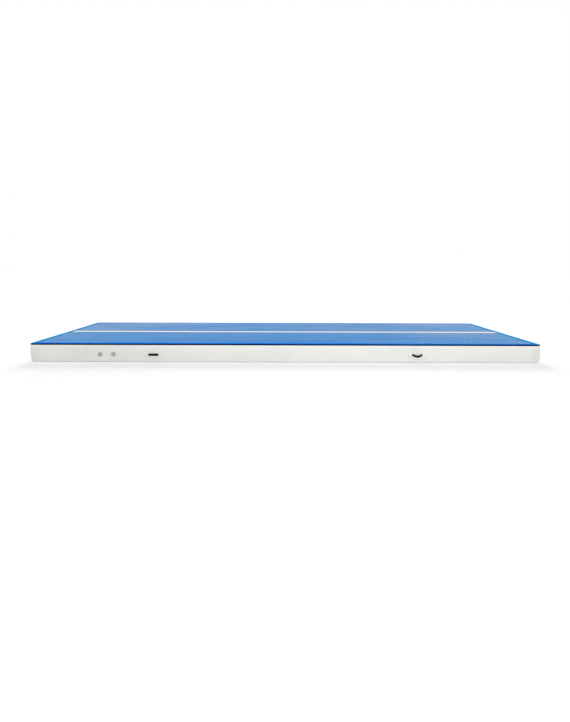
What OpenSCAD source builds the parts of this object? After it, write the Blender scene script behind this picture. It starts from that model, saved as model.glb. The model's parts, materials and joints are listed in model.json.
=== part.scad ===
// Air track mat: an inflated drop-stitch floor with taped edges, carry handles and two air valves.
// Millimetres. +X runs along the length, the valve side faces -Y, +Z is up and the floor is Z = 0.

/* [Mat] */
// Overall length over the corner wraps
mat_length = 6000; // [4500:50:12000]
// Overall width over the side seam tapes
mat_width = 2000; // [1400:50:2800]
// Overall height over the top and bottom tapes
mat_height = 220; // [180:1:300]
// Thickness of the coated fabric of the top, bottom and side walls
skin_t = 2; // [1:0.1:3]
// Plan radius of the upright corners
corner_r = 45; // [42:1:80]
// Radius of the rounded top and bottom edges
shoulder_r = 20; // [18:1:30]
// How far the side walls bulge out past the rounded edges
side_bulge = 5; // [3:0.5:9]
// Glue line between bonded layers
glue_gap = 0.1; // [0.05:0.05:0.3]

/* [Tapes] */
// Thickness of the seam and border tapes
tape_t = 1; // [0.6:0.1:1.6]
// Width of the border tape in from the mat's outline
border_w = 75; // [55:1:120]
// Height of the upper seam tape on the side walls
upper_tape_h = 24; // [12:1:32]
// Height of the lower seam tape on the side walls
lower_tape_h = 22; // [12:1:32]
// Reach of the lower seam tape in from the mat's outline, under the mat
lower_lap = 40; // [36:1:41]
// Reach of the corner wraps along each wall from the corner
wrap_leg = 112; // [90:1:200]
// Width of the stripe down the middle of the top
stripe_w = 100; // [60:1:160]
// Thickness of the stripe
stripe_t = 0.6; // [0.4:0.1:0.9]
// Clearance between the edges of neighbouring tapes
tape_gap = 0.8; // [0.4:0.1:2]

/* [Edge piping] */
// Radius of the piping bead
piping_r = 8; // [5:0.5:9]
// Place of the piping on the rounded edge, in degrees from straight up
piping_angle = 55; // [50:1:62]

/* [Drop-stitch yarns] */
// Spacing of the drawn yarn bundles
yarn_pitch = 160; // [140:5:260]
// Side of one square yarn bundle
yarn_w = 3; // [2:0.5:5]
// Distance of the outer yarn bundles from the mat's outline
yarn_margin = 100; // [80:5:140]

/* [Handles] */
// Distance of the handle centres from the mat's ends
handle_inset = 1455; // [600:1:1800]
// Height of the handles above the floor
handle_z = 93; // [88:1:104]
// Free span of the strap between its anchors
handle_span = 120; // [110:1:140]
// How far the strap bows out from its anchors
handle_bow = 32; // [28:1:36]
// Inner radius of the strap's bend where it leaves an anchor
strap_bend = 16; // [12:1:18]
// Width of the strap
strap_w = 25; // [20:1:27]
// Thickness of the strap
strap_t = 3; // [2:0.1:4]
// Rise of the strap at which the grip starts to swing
swing_rise = 13; // [12:0.5:15]
// Swing clearance between the grip and the fixed ends of the strap
swing_gap = 0.3; // [0.2:0.05:0.6]
// Droop of the straight handles, in degrees, less than 0 where they stand up
small_droop = -10; // [-15:1:10]
// Droop of the hanging handles, in degrees
large_droop = 35; // [20:1:40]
// Length of the patch under a handle
patch_l = 226; // [220:1:280]
// Height of the patch under a handle
patch_h = 70; // [62:1:76]
// Thickness of the patch
patch_t = 1.5; // [1:0.1:2.5]
// Length of a strap anchor along the mat
anchor_l = 44; // [38:1:48]
// Height of a strap anchor
anchor_h = 46; // [40:1:56]
// Thickness of a strap anchor
anchor_t = 5.6; // [5:0.1:8]
// Clearance of the strap in its anchor
strap_clear = 0.2; // [0.1:0.05:0.4]

/* [Valves] */
// Distance of the first valve from the mat's left end
valve_inset = 831; // [400:1:1100]
// Distance between the two valves
valve_pitch = 154; // [120:1:200]
// Height of the valves above the floor
valve_z = 95; // [86:1:104]
// Diameter of the valve flange
flange_d = 52; // [50:1:60]
// Thickness of the valve flange
flange_t = 4; // [3:0.2:6]
// Thickness of the gasket under the flange
gasket_t = 3.6; // [3.2:0.1:5]
// Outer diameter of the valve barrel
barrel_d = 36; // [35:0.5:38]
// Depth of the barrel behind the wall
barrel_depth = 30; // [28:1:40]
// Diameter of the air throat
throat_d = 28; // [27:0.5:30]
// Diameter of the opening in the valve seat
seat_d = 22; // [18:0.5:23]
// Thickness of the valve seat
seat_t = 3; // [2:0.2:4]
// Diameter of the plunger stem
stem_d = 6; // [5:0.2:6.4]
// Sliding clearance of the stem in its guide
stem_clear = 0.15; // [0.1:0.05:0.3]
// Diameter of the plunger button
button_d = 13; // [12:0.5:16]
// Diameter of the spring guide hub
hub_d = 11; // [10.5:0.5:13]
// Distance from the wall's face in to the hub
hub_depth = 18; // [16:0.5:20]
// Diameter of the spring wire
wire_d = 1; // [0.8:0.1:1.2]
// Turns of the spring
spring_turns = 5; // [4:0.5:6]
// Diameter of the poppet disc
poppet_d = 30; // [29:0.5:33]
// Thickness of the poppet disc
poppet_t = 2.5; // [2:0.1:4]
// Thickness of the seals
seal_t = 1; // [0.8:0.1:1.4]
// Diameter of the valve cap
cap_d = 44; // [40:1:48]
// Thickness of the valve cap
cap_t = 3.2; // [2.6:0.1:5]
// Height of the finger bar on the cap
bar_h = 6; // [4:0.5:9]
// Width of the finger bar on the cap
bar_w = 8; // [6:0.5:12]
// Clearance between the cap and the valve body
cap_clear = 0.2; // [0.1:0.05:0.4]
// Turn of the left cap, in degrees
cap_turn_left = 0; // [0:5:175]
// Turn of the right cap, in degrees
cap_turn_right = 45; // [0:5:175]
// Length of the wall panel that carries the valves
valve_panel_l = 460; // [380:1:600]
// Length of the inner patch behind the valves
doubler_l = 300; // [270:1:360]
// Height of the inner patch behind the valves
doubler_h = 110; // [90:1:120]

/* [Hidden] */
blue = [0.20, 0.42, 0.78];
deep_blue = [0.02, 0.38, 0.80];
wall_grey = [0.86, 0.86, 0.84];
tape_white = [0.93, 0.93, 0.92];
cream = [0.92, 0.90, 0.86];
black = [0.05, 0.05, 0.05];
valve_grey = [0.62, 0.62, 0.66];
cap_grey = [0.74, 0.74, 0.77];
seal_black = [0.10, 0.10, 0.10];
steel = [0.75, 0.76, 0.78];

arc_facets = 64;
side_facets = 720;
turn_facets = 48;
hole_facets = 48;
reach = 3 * (shoulder_r + side_bulge);

// The cross-section is drawn with X outward from a corner's centre and Y up.
z_lo = tape_t + glue_gap;
z_hi = mat_height - tape_t - glue_gap;
z_mid = (z_lo + z_hi) / 2;
edge_r = corner_r - tape_t - glue_gap;
flat_r = edge_r - side_bulge - shoulder_r;
rise = z_hi - shoulder_r - z_mid;
arm = (side_bulge * side_bulge + rise * rise) / (2 * side_bulge);
side_r = arm + shoulder_r;
side_centre = [edge_r - side_r, z_mid];
top_centre = [flat_r, z_hi - shoulder_r];
low_centre = [flat_r, z_lo + shoulder_r];
lean = atan2(arm - side_bulge, rise);

centre_x = mat_length / 2 - corner_r;
centre_y = mat_width / 2 - corner_r;
wall_y = centre_y + edge_r;

// Sides and corners count from the front, against the clock as seen from above.
front = 0;
right = 1;
rear = 2;
left = 3;
side_len = [2 * centre_x, 2 * centre_y, 2 * centre_x, 2 * centre_y];
side_off = [centre_y, centre_x, centre_y, centre_x];
corner_x = [-centre_x, centre_x, centre_x, -centre_x];
corner_y = [-centre_y, -centre_y, centre_y, centre_y];

piping_half = 2 * asin(piping_r / (2 * (shoulder_r + glue_gap)));
edge_turn = tape_gap / shoulder_r * 180 / PI;
border_end = piping_angle - piping_half - edge_turn;
upper_start = min(piping_angle + piping_half + edge_turn, lean);
upper_hi = top_centre.y + shoulder_r * cos(upper_start);
upper_lo = upper_hi - upper_tape_h;
wrap_hi = upper_lo - tape_gap;
wrap_lo = z_lo + lower_tape_h + tape_gap;

yarn_len = z_hi - z_lo - 2 * skin_t;
yarn_nx = floor((mat_length - 2 * yarn_margin) / yarn_pitch);
yarn_ny = floor((mat_width - 2 * yarn_margin) / yarn_pitch);
yarn_dx = (mat_length - 2 * yarn_margin) / yarn_nx;
yarn_dy = (mat_width - 2 * yarn_margin) / yarn_ny;

// Strap heights are measured out from the wall's face.
patch_top = glue_gap + patch_t;
strap_base = patch_top + glue_gap + strap_clear + strap_t / 2;
half_span = handle_span / 2;
bow_angle = 2 * atan(handle_bow / half_span);
crown_r = half_span / sin(bow_angle) - strap_bend;
bend_x = half_span - strap_bend * sin(bow_angle);
swing_h = strap_base + swing_rise;
swing_x = sqrt(pow(crown_r, 2) - pow(crown_r - handle_bow + swing_rise, 2));
twist_start = 0.35;
handle_x = mat_length / 2 - handle_inset;
anchor_mid = half_span + anchor_l / 2;
tail_l = anchor_l * 0.75;
plan_r = 10;
patch_r = 20;

valve_x = [-mat_length / 2 + valve_inset, -mat_length / 2 + valve_inset + valve_pitch];
panel_mid = (valve_x[0] + valve_x[1]) / 2;
panel_lo = panel_mid - valve_panel_l / 2;
panel_hi = panel_mid + valve_panel_l / 2;
flange_top = gasket_t + flange_t;
flange_round = 2;
seat_back = -barrel_depth;
barrel_gap = 0.2;
doubler_t = 2;
nut_d = barrel_d + 14;
nut_t = 7;
nut_notch = 5;
hub_t = 4;
spoke_w = 3;
button_t = 4;
cap_under = flange_top + cap_clear;
skirt_d = throat_d - 2 * cap_clear;
skirt_t = 2.8;
skirt_l = 8;
cap_seal_land = 1.2;
cap_seal_w = 2.2;
cap_seal_in = throat_d / 2 + cap_seal_land;
cap_seal_out = cap_seal_in + cap_seal_w;
cap_round = 1;
cap_dish = 0.8;
cap_rim = 3;
cap_notches = 12;
cap_notch_r = 3;
cap_notch_depth = 1.2;
bar_clear = 5;
bar_round = 3.5;
groove_t = seal_t + cap_clear;
poppet_seal_inset = 0.4;
poppet_seal_in = seat_d / 2 + poppet_seal_inset;
poppet_seal_out = poppet_d / 2 - poppet_seal_inset;
spring_clear = 0.6;
spring_r = stem_d / 2 + spring_clear + wire_d / 2;
spring_seat = 0.05;
spring_lo = -hub_depth + wire_d / 2 + spring_seat;
spring_hi = -button_t - wire_d / 2 - spring_seat;
coil_rings = 8;
coil_sides = 6;

// One rounded edge of the cross-section, between two angles from straight up (or down for the lower edge).
module shoulder_band(centre, up, inner, outer, from, to) {
    intersection() {
        translate(centre)
            difference() {
                circle(r = shoulder_r + outer, $fn = arc_facets);
                circle(r = shoulder_r + inner, $fn = arc_facets);
            }
        polygon([
            centre,
            centre + reach * [sin(from), up * cos(from)],
            centre + reach * [sin((from + to) / 2), up * cos((from + to) / 2)],
            centre + reach * [sin(to), up * cos(to)]
        ]);
    }
}

// The bulged face of the cross-section, between the ends of the two rounded edges.
module side_band(inner, outer) {
    intersection() {
        translate(side_centre)
            difference() {
                circle(r = side_r + outer, $fn = side_facets);
                circle(r = side_r + inner, $fn = side_facets);
            }
        polygon([
            top_centre,
            top_centre + reach * [sin(lean), cos(lean)],
            low_centre + reach * [sin(lean), -cos(lean)],
            low_centre
        ]);
    }
}

// The whole side of the cross-section as one layer.
module wall_band(inner, outer) {
    shoulder_band(top_centre, 1, inner, outer, 0, lean);
    side_band(inner, outer);
    shoulder_band(low_centre, -1, inner, outer, 0, lean);
}

// One taped layer on the outside of the wall, between two heights.
module wall_strip(thickness, lo, hi) {
    intersection() {
        wall_band(glue_gap, glue_gap + thickness);
        translate([flat_r, lo])
            square([corner_r, hi - lo]);
    }
}

// Everything inside the bulged face grown by a distance, for trimming parts that sit on the wall.
module wall_core(grow) {
    rotate([90, 0, -90])
        linear_extrude(mat_length, center = true)
            translate([centre_y, 0])
                intersection() {
                    translate(side_centre)
                        circle(r = side_r + grow, $fn = side_facets);
                    translate([flat_r - shoulder_r, low_centre.y])
                        square([corner_r + shoulder_r, 2 * rise]);
                }
}

// A cross-section drawn out along one straight side.
module run(side, length) {
    rotate([0, 0, 90 * side])
        translate([0, -side_off[side], 0])
            rotate([90, 0, -90])
                linear_extrude(length, center = true)
                    children();
}

// A cross-section drawn out along part of the front, between two places on the length.
module front_length(from, to) {
    translate([(from + to) / 2, 0, 0])
        run(front, to - from)
            children();
}

// A cross-section turned round one corner.
module turn(corner) {
    translate([corner_x[corner], corner_y[corner], 0])
        rotate([0, 0, 180 + 90 * corner])
            rotate_extrude(angle = 90, $fn = turn_facets)
                children();
}

// A cross-section carried along one side and round both of its corners.
module side_and_turns(side) {
    run(side, side_len[side])
        children();
    turn(side)
        children();
    turn((side + 1) % 4)
        children();
}

// A cross-section carried right round the mat.
module loop() {
    for (i = [0 : 3]) {
        run(i, side_len[i])
            children();
        turn(i)
            children();
    }
}

// The part of the mat that belongs to one side when the corners are mitred.
module mitre(side) {
    half = side_len[side] / 2 + corner_r;
    off = side_off[side] + corner_r;
    over = corner_r;
    inner = 2 * border_w;
    rotate([0, 0, 90 * side])
        translate([0, 0, -over])
            linear_extrude(mat_height + 2 * over)
                polygon([
                    [-half - over, -off - over],
                    [half + over, -off - over],
                    [half - inner, -off + inner],
                    [-half + inner, -off + inner]
                ]);
}

// A rectangle with rounded corners, centred.
module round_rect(size, radius) {
    square([size.x - 2 * radius, size.y], center = true);
    square([size.x, size.y - 2 * radius], center = true);
    for (x = [-1, 1], y = [-1, 1])
        translate([x * (size.x / 2 - radius), y * (size.y / 2 - radius)])
            circle(r = radius, $fn = arc_facets);
}

// Places a part on the front (0) or rear (180) wall: X along, Y up, Z out from the wall's face.
module at_wall(x, z, turned) {
    rotate([0, 0, turned])
        translate([x, -wall_y, z])
            rotate([90, 0, 0])
                children();
}

module skin(z) {
    translate([0, 0, z])
        linear_extrude(skin_t)
            round_rect([
                2 * (centre_x + flat_r - glue_gap),
                2 * (centre_y + flat_r - glue_gap)
            ], flat_r - glue_gap);
}

module corner_wrap(corner) {
    leg = wrap_leg - corner_r;
    turn(corner)
        wall_strip(tape_t, wrap_lo, wrap_hi);
    translate([corner_x[corner], corner_y[corner], 0])
        for (side = [0, 1])
            rotate([0, 0, 90 * corner - 90 * side])
                translate([side == 0 ? leg / 2 : -leg / 2, 0, 0])
                    rotate([90, 0, -90])
                        linear_extrude(leg, center = true)
                            wall_strip(tape_t, wrap_lo, wrap_hi);
}

module border_tape(side) {
    intersection() {
        mitre(side);
        union() {
            translate([0, 0, z_hi + glue_gap])
                linear_extrude(tape_t)
                    difference() {
                        round_rect([2 * (centre_x + flat_r), 2 * (centre_y + flat_r)], flat_r);
                        square([mat_length - 2 * border_w, mat_width - 2 * border_w], center = true);
                    }
            side_and_turns(side)
                shoulder_band(top_centre, 1, glue_gap, glue_gap + tape_t, 0, border_end);
        }
    }
}

// Height of the strap's middle line out from the wall, and the cosine of its slope.
function strap_h(x) = abs(x) >= half_span ? strap_base
    : abs(x) >= bend_x ? strap_base + strap_bend - sqrt(pow(strap_bend, 2) - pow(half_span - abs(x), 2))
    : strap_base + handle_bow - crown_r + sqrt(pow(crown_r, 2) - x * x);
function strap_cos(x) = abs(x) >= half_span ? 1
    : abs(x) >= bend_x ? sqrt(1 - pow((half_span - abs(x)) / strap_bend, 2))
    : sqrt(1 - pow(x / crown_r, 2));
function ease(t) = let (u = max(0, min(1, t))) u * u * (3 - 2 * u);
function strap_turn(x, droop) =
    droop * ease(((half_span - abs(x)) / (half_span - swing_x) - twist_start) / (1 - twist_start));

// The four corners of the strap cut across at x, turned down about the swing axis.
function strap_cut(x, droop) =
    let (a = strap_turn(x, droop), half_t = strap_t / 2 / strap_cos(x), out = strap_h(x) - swing_h)
    [for (c = [[-1, -1], [1, -1], [1, 1], [-1, 1]])
        let (up = c.x * strap_w / 2, w = out + c.y * half_t)
        [x, up * cos(a) - w * sin(a), swing_h + up * sin(a) + w * cos(a)]];

// A strap through a row of cuts given from the smallest x to the largest.
module strap(xs, droop) {
    last = len(xs) - 1;
    points = [for (x = xs) each strap_cut(x, droop)];
    sides = [for (i = [0 : last - 1], k = [0 : 3])
        let (a = 4 * i + k, b = 4 * i + (k + 1) % 4)
        each [[a, b, b + 4], [a, b + 4, a + 4]]];
    ends = [[0, 3, 2], [0, 2, 1], [4 * last, 4 * last + 1, 4 * last + 2], [4 * last, 4 * last + 2, 4 * last + 3]];
    polyhedron(points, concat(sides, ends));
}

module handle_patch() {
    intersection() {
        translate([0, 0, -shoulder_r])
            linear_extrude(2 * shoulder_r)
                round_rect([patch_l, patch_h], patch_r);
        translate([0, -handle_z, -wall_y])
            rotate([-90, 0, 0])
                difference() {
                    wall_core(patch_top);
                    wall_core(glue_gap);
                }
    }
}

module handle_anchors() {
    difference() {
        for (end = [-1, 1])
            translate([end * anchor_mid, 0, 0])
                linear_extrude(patch_top + glue_gap + anchor_t)
                    round_rect([anchor_l, anchor_h], plan_r);
        for (end = [-1, 1])
            translate([end * (half_span + tail_l / 2), 0, strap_base])
                cube([
                    tail_l + 2 * strap_clear,
                    strap_w + 2 * strap_clear,
                    strap_t + 2 * strap_clear
                ], center = true);
        translate([0, -handle_z, -wall_y])
            rotate([-90, 0, 0])
                wall_core(patch_top + glue_gap);
    }
}

module handle_strap_ends(droop) {
    steps = 7;
    from = swing_x + swing_gap / 2;
    free = [for (i = [0 : steps]) from + (half_span - from) * i / steps];
    cuts = concat(free, [half_span + tail_l]);
    strap(cuts, droop);
    strap([for (i = [len(cuts) - 1 : -1 : 0]) -cuts[i]], droop);
}

module handle_grip(droop) {
    steps = 14;
    to = swing_x - swing_gap / 2;
    strap([for (i = [0 : steps]) -to + 2 * to * i / steps], droop);
}

module valve_gasket() {
    difference() {
        translate([0, 0, -side_bulge])
            cylinder(d = flange_d - 2, h = side_bulge + gasket_t, $fn = hole_facets);
        translate([0, 0, -2 * side_bulge])
            cylinder(d = barrel_d + 2 * barrel_gap, h = 4 * side_bulge, $fn = hole_facets);
        translate([0, -valve_z, -wall_y])
            rotate([-90, 0, 0])
                wall_core(glue_gap);
    }
}

module valve_body() {
    rotate_extrude($fn = hole_facets)
        difference() {
            union() {
                translate([0, gasket_t])
                    square([flange_d / 2 - flange_round, flange_t]);
                translate([0, gasket_t])
                    square([flange_d / 2, flange_t - flange_round]);
                translate([flange_d / 2 - flange_round, flange_top - flange_round])
                    circle(r = flange_round, $fn = arc_facets);
                translate([0, seat_back])
                    square([barrel_d / 2, barrel_depth + gasket_t]);
            }
            translate([0, seat_back + seat_t])
                square([throat_d / 2, barrel_depth + flange_top]);
            translate([0, seat_back - seat_t])
                square([seat_d / 2, 3 * seat_t]);
        }
    translate([0, 0, -hub_depth - hub_t])
        linear_extrude(hub_t)
            difference() {
                union() {
                    circle(d = hub_d, $fn = hole_facets);
                    for (a = [0, 120, 240])
                        rotate([0, 0, a])
                            translate([0, -spoke_w / 2])
                                square([(throat_d + barrel_d) / 4, spoke_w]);
                }
                circle(d = stem_d + 2 * stem_clear, $fn = hole_facets);
            }
}

module valve_backnut() {
    depth = skin_t + doubler_t + 2 * glue_gap + side_bulge + nut_t;
    intersection() {
        translate([0, 0, -depth])
            difference() {
                cylinder(d = nut_d, h = depth, $fn = hole_facets);
                translate([0, 0, -1])
                    cylinder(d = barrel_d + 2 * barrel_gap, h = depth + 2, $fn = hole_facets);
                for (a = [0 : 60 : 300])
                    rotate([0, 0, a])
                        translate([nut_d / 2 - nut_notch / 2, -nut_notch / 2, -1])
                            cube([nut_notch, nut_notch, depth + 2]);
            }
        translate([0, -valve_z, -wall_y])
            rotate([-90, 0, 0])
                wall_core(-skin_t - doubler_t - 2 * glue_gap);
    }
}

module valve_plunger() {
    stem_lo = seat_back - seal_t - poppet_t;
    translate([0, 0, stem_lo])
        cylinder(d = stem_d, h = -stem_lo - button_t / 2, $fn = hole_facets);
    translate([0, 0, stem_lo])
        cylinder(d = poppet_d, h = poppet_t, $fn = hole_facets);
    translate([0, 0, -button_t])
        cylinder(d = button_d, h = button_t, $fn = hole_facets);
}

module valve_poppet_seal() {
    translate([0, 0, seat_back - seal_t])
        difference() {
            cylinder(r = poppet_seal_out, h = seal_t, $fn = hole_facets);
            translate([0, 0, -1])
                cylinder(r = poppet_seal_in, h = seal_t + 2, $fn = hole_facets);
        }
}

// Middle points of the spring's wire, and the wire's rings round them.
function coil_at(i) =
    let (t = i / (coil_rings * spring_turns), a = 360 * i / coil_rings)
    [spring_r * cos(a), spring_r * sin(a), spring_lo + (spring_hi - spring_lo) * t];
function coil_ring(i) =
    let (a = 360 * i / coil_rings)
    [for (k = [0 : coil_sides - 1])
        let (b = 360 * k / coil_sides, r = spring_r + wire_d / 2 * cos(b))
        [r * cos(a), r * sin(a), coil_at(i).z + wire_d / 2 * sin(b)]];

module valve_spring() {
    last = floor(coil_rings * spring_turns);
    points = [for (i = [0 : last]) each coil_ring(i)];
    sides = [for (i = [0 : last - 1], k = [0 : coil_sides - 1])
        let (a = coil_sides * i + k, b = coil_sides * i + (k + 1) % coil_sides)
        each [[a, b + coil_sides, b], [a, a + coil_sides, b + coil_sides]]];
    ends = concat(
        [for (k = [1 : coil_sides - 2]) [0, k, k + 1]],
        [for (k = [1 : coil_sides - 2])
            [coil_sides * last, coil_sides * last + k + 1, coil_sides * last + k]]
    );
    polyhedron(points, concat(sides, ends));
}

module valve_cap(angle) {
    rotate([0, 0, angle]) {
        difference() {
            rotate_extrude($fn = hole_facets)
                difference() {
                    union() {
                        translate([0, cap_under])
                            square([cap_d / 2 - cap_round, cap_t]);
                        translate([0, cap_under])
                            square([cap_d / 2, cap_t - cap_round]);
                        translate([cap_d / 2 - cap_round, cap_under + cap_t - cap_round])
                            circle(r = cap_round, $fn = arc_facets);
                        translate([skirt_d / 2 - skirt_t, cap_under - skirt_l])
                            square([skirt_t, skirt_l]);
                    }
                    translate([cap_seal_in - cap_clear, cap_under - groove_t])
                        square([cap_seal_w + 2 * cap_clear, 2 * groove_t]);
                    translate([0, cap_under + cap_t - cap_dish])
                        square([cap_d / 2 - cap_rim, cap_t]);
                }
            for (i = [0 : cap_notches - 1])
                rotate([0, 0, 360 * (i + 0.5) / cap_notches])
                    translate([cap_d / 2 + cap_notch_r - cap_notch_depth, 0, cap_under - cap_t])
                        cylinder(r = cap_notch_r, h = 3 * cap_t, $fn = hole_facets);
        }
        translate([0, 0, cap_under + cap_t / 2])
            linear_extrude(cap_t / 2 + bar_h)
                round_rect([cap_d - 2 * bar_clear, bar_w], min(bar_round, bar_w / 2 - glue_gap));
    }
}

module valve_cap_seal() {
    translate([0, 0, flange_top + glue_gap])
        difference() {
            cylinder(r = cap_seal_out, h = seal_t, $fn = hole_facets);
            translate([0, 0, -1])
                cylinder(r = cap_seal_in, h = seal_t + 2, $fn = hole_facets);
        }
}

module top_skin() color(blue) skin(z_hi - skin_t);

module bottom_skin() color(wall_grey) skin(z_lo);

module drop_stitch_yarns() color(cream)
    for (i = [0 : yarn_nx], j = [0 : yarn_ny])
        translate([
            -mat_length / 2 + yarn_margin + i * yarn_dx - yarn_w / 2,
            -mat_width / 2 + yarn_margin + j * yarn_dy - yarn_w / 2,
            z_lo + skin_t
        ])
            cube([yarn_w, yarn_w, yarn_len]);

module side_wall_front_left() color(wall_grey) {
    front_length(-centre_x, panel_lo)
        wall_band(-skin_t, 0);
    turn(0)
        wall_band(-skin_t, 0);
}

module side_wall_valve_panel() color(wall_grey)
    difference() {
        front_length(panel_lo, panel_hi)
            wall_band(-skin_t, 0);
        for (x = valve_x)
            at_wall(x, valve_z, 0)
                translate([0, 0, -shoulder_r])
                    cylinder(d = barrel_d + 2 * barrel_gap, h = 2 * shoulder_r, $fn = hole_facets);
    }

module side_wall_front_right() color(wall_grey) {
    front_length(panel_hi, centre_x)
        wall_band(-skin_t, 0);
    turn(1)
        wall_band(-skin_t, 0);
}

module side_wall_rear() color(wall_grey)
    side_and_turns(rear)
        wall_band(-skin_t, 0);

module side_wall_left() color(wall_grey)
    run(left, side_len[left])
        wall_band(-skin_t, 0);

module side_wall_right() color(wall_grey)
    run(right, side_len[right])
        wall_band(-skin_t, 0);

module corner_wrap_front_left() color(wall_grey) corner_wrap(0);

module corner_wrap_front_right() color(wall_grey) corner_wrap(1);

module corner_wrap_rear_right() color(wall_grey) corner_wrap(2);

module corner_wrap_rear_left() color(wall_grey) corner_wrap(3);

module border_tape_front() color(deep_blue) border_tape(front);

module border_tape_rear() color(deep_blue) border_tape(rear);

module border_tape_left() color(deep_blue) border_tape(left);

module border_tape_right() color(deep_blue) border_tape(right);

module centre_stripe() color(cream)
    translate([0, 0, z_hi + glue_gap])
        linear_extrude(stripe_t)
            square([mat_length - 2 * border_w - 2 * tape_gap, stripe_w], center = true);

module edge_piping() color(black)
    loop()
        difference() {
            translate(top_centre + (shoulder_r + glue_gap) * [sin(piping_angle), cos(piping_angle)])
                circle(r = piping_r, $fn = arc_facets);
            translate(top_centre)
                circle(r = shoulder_r + glue_gap, $fn = arc_facets);
        }

module upper_seam_tape() color(tape_white)
    loop()
        wall_strip(tape_t, upper_lo, upper_hi);

module lower_seam_tape() color(tape_white)
    loop() {
        wall_strip(tape_t, 0, z_lo + lower_tape_h);
        translate([corner_r - lower_lap, 0])
            square([flat_r - corner_r + lower_lap, tape_t]);
    }

module handle_patch_front_left() color(wall_grey) at_wall(-handle_x, handle_z, 0) handle_patch();

module handle_anchors_front_left() color(wall_grey) at_wall(-handle_x, handle_z, 0) handle_anchors();

module handle_strap_ends_front_left() color(black)
    at_wall(-handle_x, handle_z, 0) handle_strap_ends(small_droop);

module handle_grip_front_left() color(black) at_wall(-handle_x, handle_z, 0) handle_grip(small_droop);

module handle_patch_front_right() color(wall_grey) at_wall(handle_x, handle_z, 0) handle_patch();

module handle_anchors_front_right() color(wall_grey) at_wall(handle_x, handle_z, 0) handle_anchors();

module handle_strap_ends_front_right() color(black)
    at_wall(handle_x, handle_z, 0) handle_strap_ends(large_droop);

module handle_grip_front_right() color(black) at_wall(handle_x, handle_z, 0) handle_grip(large_droop);

module handle_patch_rear_left() color(wall_grey) at_wall(handle_x, handle_z, 180) handle_patch();

module handle_anchors_rear_left() color(wall_grey) at_wall(handle_x, handle_z, 180) handle_anchors();

module handle_strap_ends_rear_left() color(black)
    at_wall(handle_x, handle_z, 180) handle_strap_ends(large_droop);

module handle_grip_rear_left() color(black) at_wall(handle_x, handle_z, 180) handle_grip(large_droop);

module handle_patch_rear_right() color(wall_grey) at_wall(-handle_x, handle_z, 180) handle_patch();

module handle_anchors_rear_right() color(wall_grey) at_wall(-handle_x, handle_z, 180) handle_anchors();

module handle_strap_ends_rear_right() color(black)
    at_wall(-handle_x, handle_z, 180) handle_strap_ends(small_droop);

module handle_grip_rear_right() color(black) at_wall(-handle_x, handle_z, 180) handle_grip(small_droop);

module valve_doubler() color(wall_grey)
    difference() {
        intersection() {
            at_wall(panel_mid, valve_z, 0)
                translate([0, 0, -2 * shoulder_r])
                    linear_extrude(2 * shoulder_r)
                        round_rect([doubler_l, doubler_h], patch_r);
            difference() {
                wall_core(-skin_t - glue_gap);
                wall_core(-skin_t - glue_gap - doubler_t);
            }
        }
        for (x = valve_x)
            at_wall(x, valve_z, 0)
                translate([0, 0, -2 * shoulder_r])
                    cylinder(d = barrel_d + 2 * barrel_gap, h = 2 * shoulder_r, $fn = hole_facets);
    }

module valve_gasket_left() color(seal_black) at_wall(valve_x[0], valve_z, 0) valve_gasket();

module valve_body_left() color(valve_grey) at_wall(valve_x[0], valve_z, 0) valve_body();

module valve_backnut_left() color(valve_grey) at_wall(valve_x[0], valve_z, 0) valve_backnut();

module valve_plunger_left() color(cap_grey) at_wall(valve_x[0], valve_z, 0) valve_plunger();

module valve_poppet_seal_left() color(seal_black) at_wall(valve_x[0], valve_z, 0) valve_poppet_seal();

module valve_spring_left() color(steel) at_wall(valve_x[0], valve_z, 0) valve_spring();

module valve_cap_left() color(cap_grey) at_wall(valve_x[0], valve_z, 0) valve_cap(cap_turn_left);

module valve_cap_seal_left() color(seal_black) at_wall(valve_x[0], valve_z, 0) valve_cap_seal();

module valve_gasket_right() color(seal_black) at_wall(valve_x[1], valve_z, 0) valve_gasket();

module valve_body_right() color(valve_grey) at_wall(valve_x[1], valve_z, 0) valve_body();

module valve_backnut_right() color(valve_grey) at_wall(valve_x[1], valve_z, 0) valve_backnut();

module valve_plunger_right() color(cap_grey) at_wall(valve_x[1], valve_z, 0) valve_plunger();

module valve_poppet_seal_right() color(seal_black) at_wall(valve_x[1], valve_z, 0) valve_poppet_seal();

module valve_spring_right() color(steel) at_wall(valve_x[1], valve_z, 0) valve_spring();

module valve_cap_right() color(cap_grey) at_wall(valve_x[1], valve_z, 0) valve_cap(cap_turn_right);

module valve_cap_seal_right() color(seal_black) at_wall(valve_x[1], valve_z, 0) valve_cap_seal();

// Least gap between neighbouring turns of the spring's wire.
spring_gap = min([for (i = [0 : floor(coil_rings * (spring_turns - 1))])
    norm(coil_at(i + coil_rings) - coil_at(i))]) - wire_d;
echo(spring_gap = spring_gap);

top_skin();
bottom_skin();
drop_stitch_yarns();
side_wall_front_left();
side_wall_valve_panel();
side_wall_front_right();
side_wall_rear();
side_wall_left();
side_wall_right();
corner_wrap_front_left();
corner_wrap_front_right();
corner_wrap_rear_left();
corner_wrap_rear_right();
border_tape_front();
border_tape_rear();
border_tape_left();
border_tape_right();
centre_stripe();
edge_piping();
upper_seam_tape();
lower_seam_tape();
handle_patch_front_left();
handle_anchors_front_left();
handle_strap_ends_front_left();
handle_grip_front_left();
handle_patch_front_right();
handle_anchors_front_right();
handle_strap_ends_front_right();
handle_grip_front_right();
handle_patch_rear_left();
handle_anchors_rear_left();
handle_strap_ends_rear_left();
handle_grip_rear_left();
handle_patch_rear_right();
handle_anchors_rear_right();
handle_strap_ends_rear_right();
handle_grip_rear_right();
valve_doubler();
valve_gasket_left();
valve_body_left();
valve_backnut_left();
valve_plunger_left();
valve_poppet_seal_left();
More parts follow.
